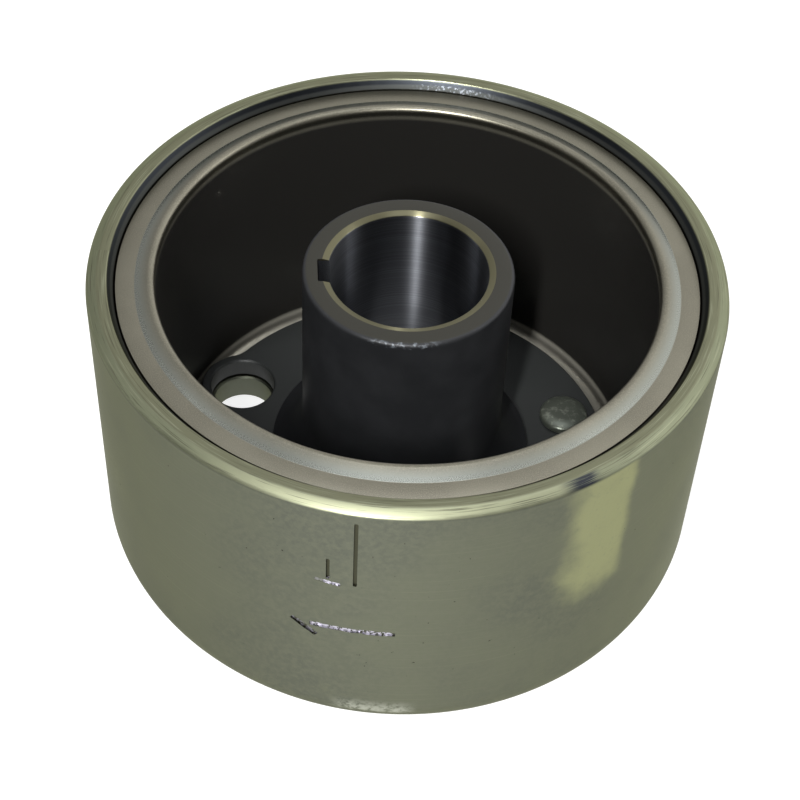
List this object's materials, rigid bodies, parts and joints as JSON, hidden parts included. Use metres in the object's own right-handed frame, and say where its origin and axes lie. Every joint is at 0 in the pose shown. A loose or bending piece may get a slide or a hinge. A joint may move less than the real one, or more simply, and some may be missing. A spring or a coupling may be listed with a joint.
{
  "type": "magneto flywheel",
  "caption": "Cup-shaped magneto flywheel: steel drum with riveted tapered hub, lugged flange, keyway, and magnets held behind a drawn steel sleeve.",
  "frame": {"origin": "centre of the drum's closed face, on the turning axis", "axes": "+Z along the turning axis from the closed face to the open side; -Y towards the wall that carries the timing line, which is 6.2 degrees round from -Y; +X to the right of someone who faces that wall"},
  "size_m": [0.12, 0.12, 0.0635],
  "materials": {
    "turned_steel": "turned and olive passivated, satin",
    "black_oxide_steel": "forged, machined and blackened, the bore ground bright",
    "drawn_steel": "deep-drawn sheet with a fine matt grain",
    "rivet_steel": "cold-headed, plain",
    "cast_aluminium": "die-cast",
    "potting_resin": "dark moulded resin",
    "ferrite": "sintered and ground"
  },
  "bodies": {
    "root": {"drum": "turned_steel", "hub": "black_oxide_steel", "magnet_sleeve": "drawn_steel", "lower_spacer_ring": "cast_aluminium", "upper_resin_ring": "potting_resin", "magnet_1": "ferrite", "magnet_2": "ferrite", "magnet_3": "ferrite", "magnet_4": "ferrite", "magnet_5": "ferrite", "magnet_6": "ferrite", "magnet_separator_1": "potting_resin", "magnet_separator_2": "potting_resin", "magnet_separator_3": "potting_resin", "magnet_separator_4": "potting_resin", "magnet_separator_5": "potting_resin", "magnet_separator_6": "potting_resin", "rivet_1": "rivet_steel", "rivet_2": "rivet_steel", "rivet_3": "rivet_steel", "rivet_4": "rivet_steel", "rivet_5": "rivet_steel", "rivet_6": "rivet_steel"}
  },
  "joints": []
}
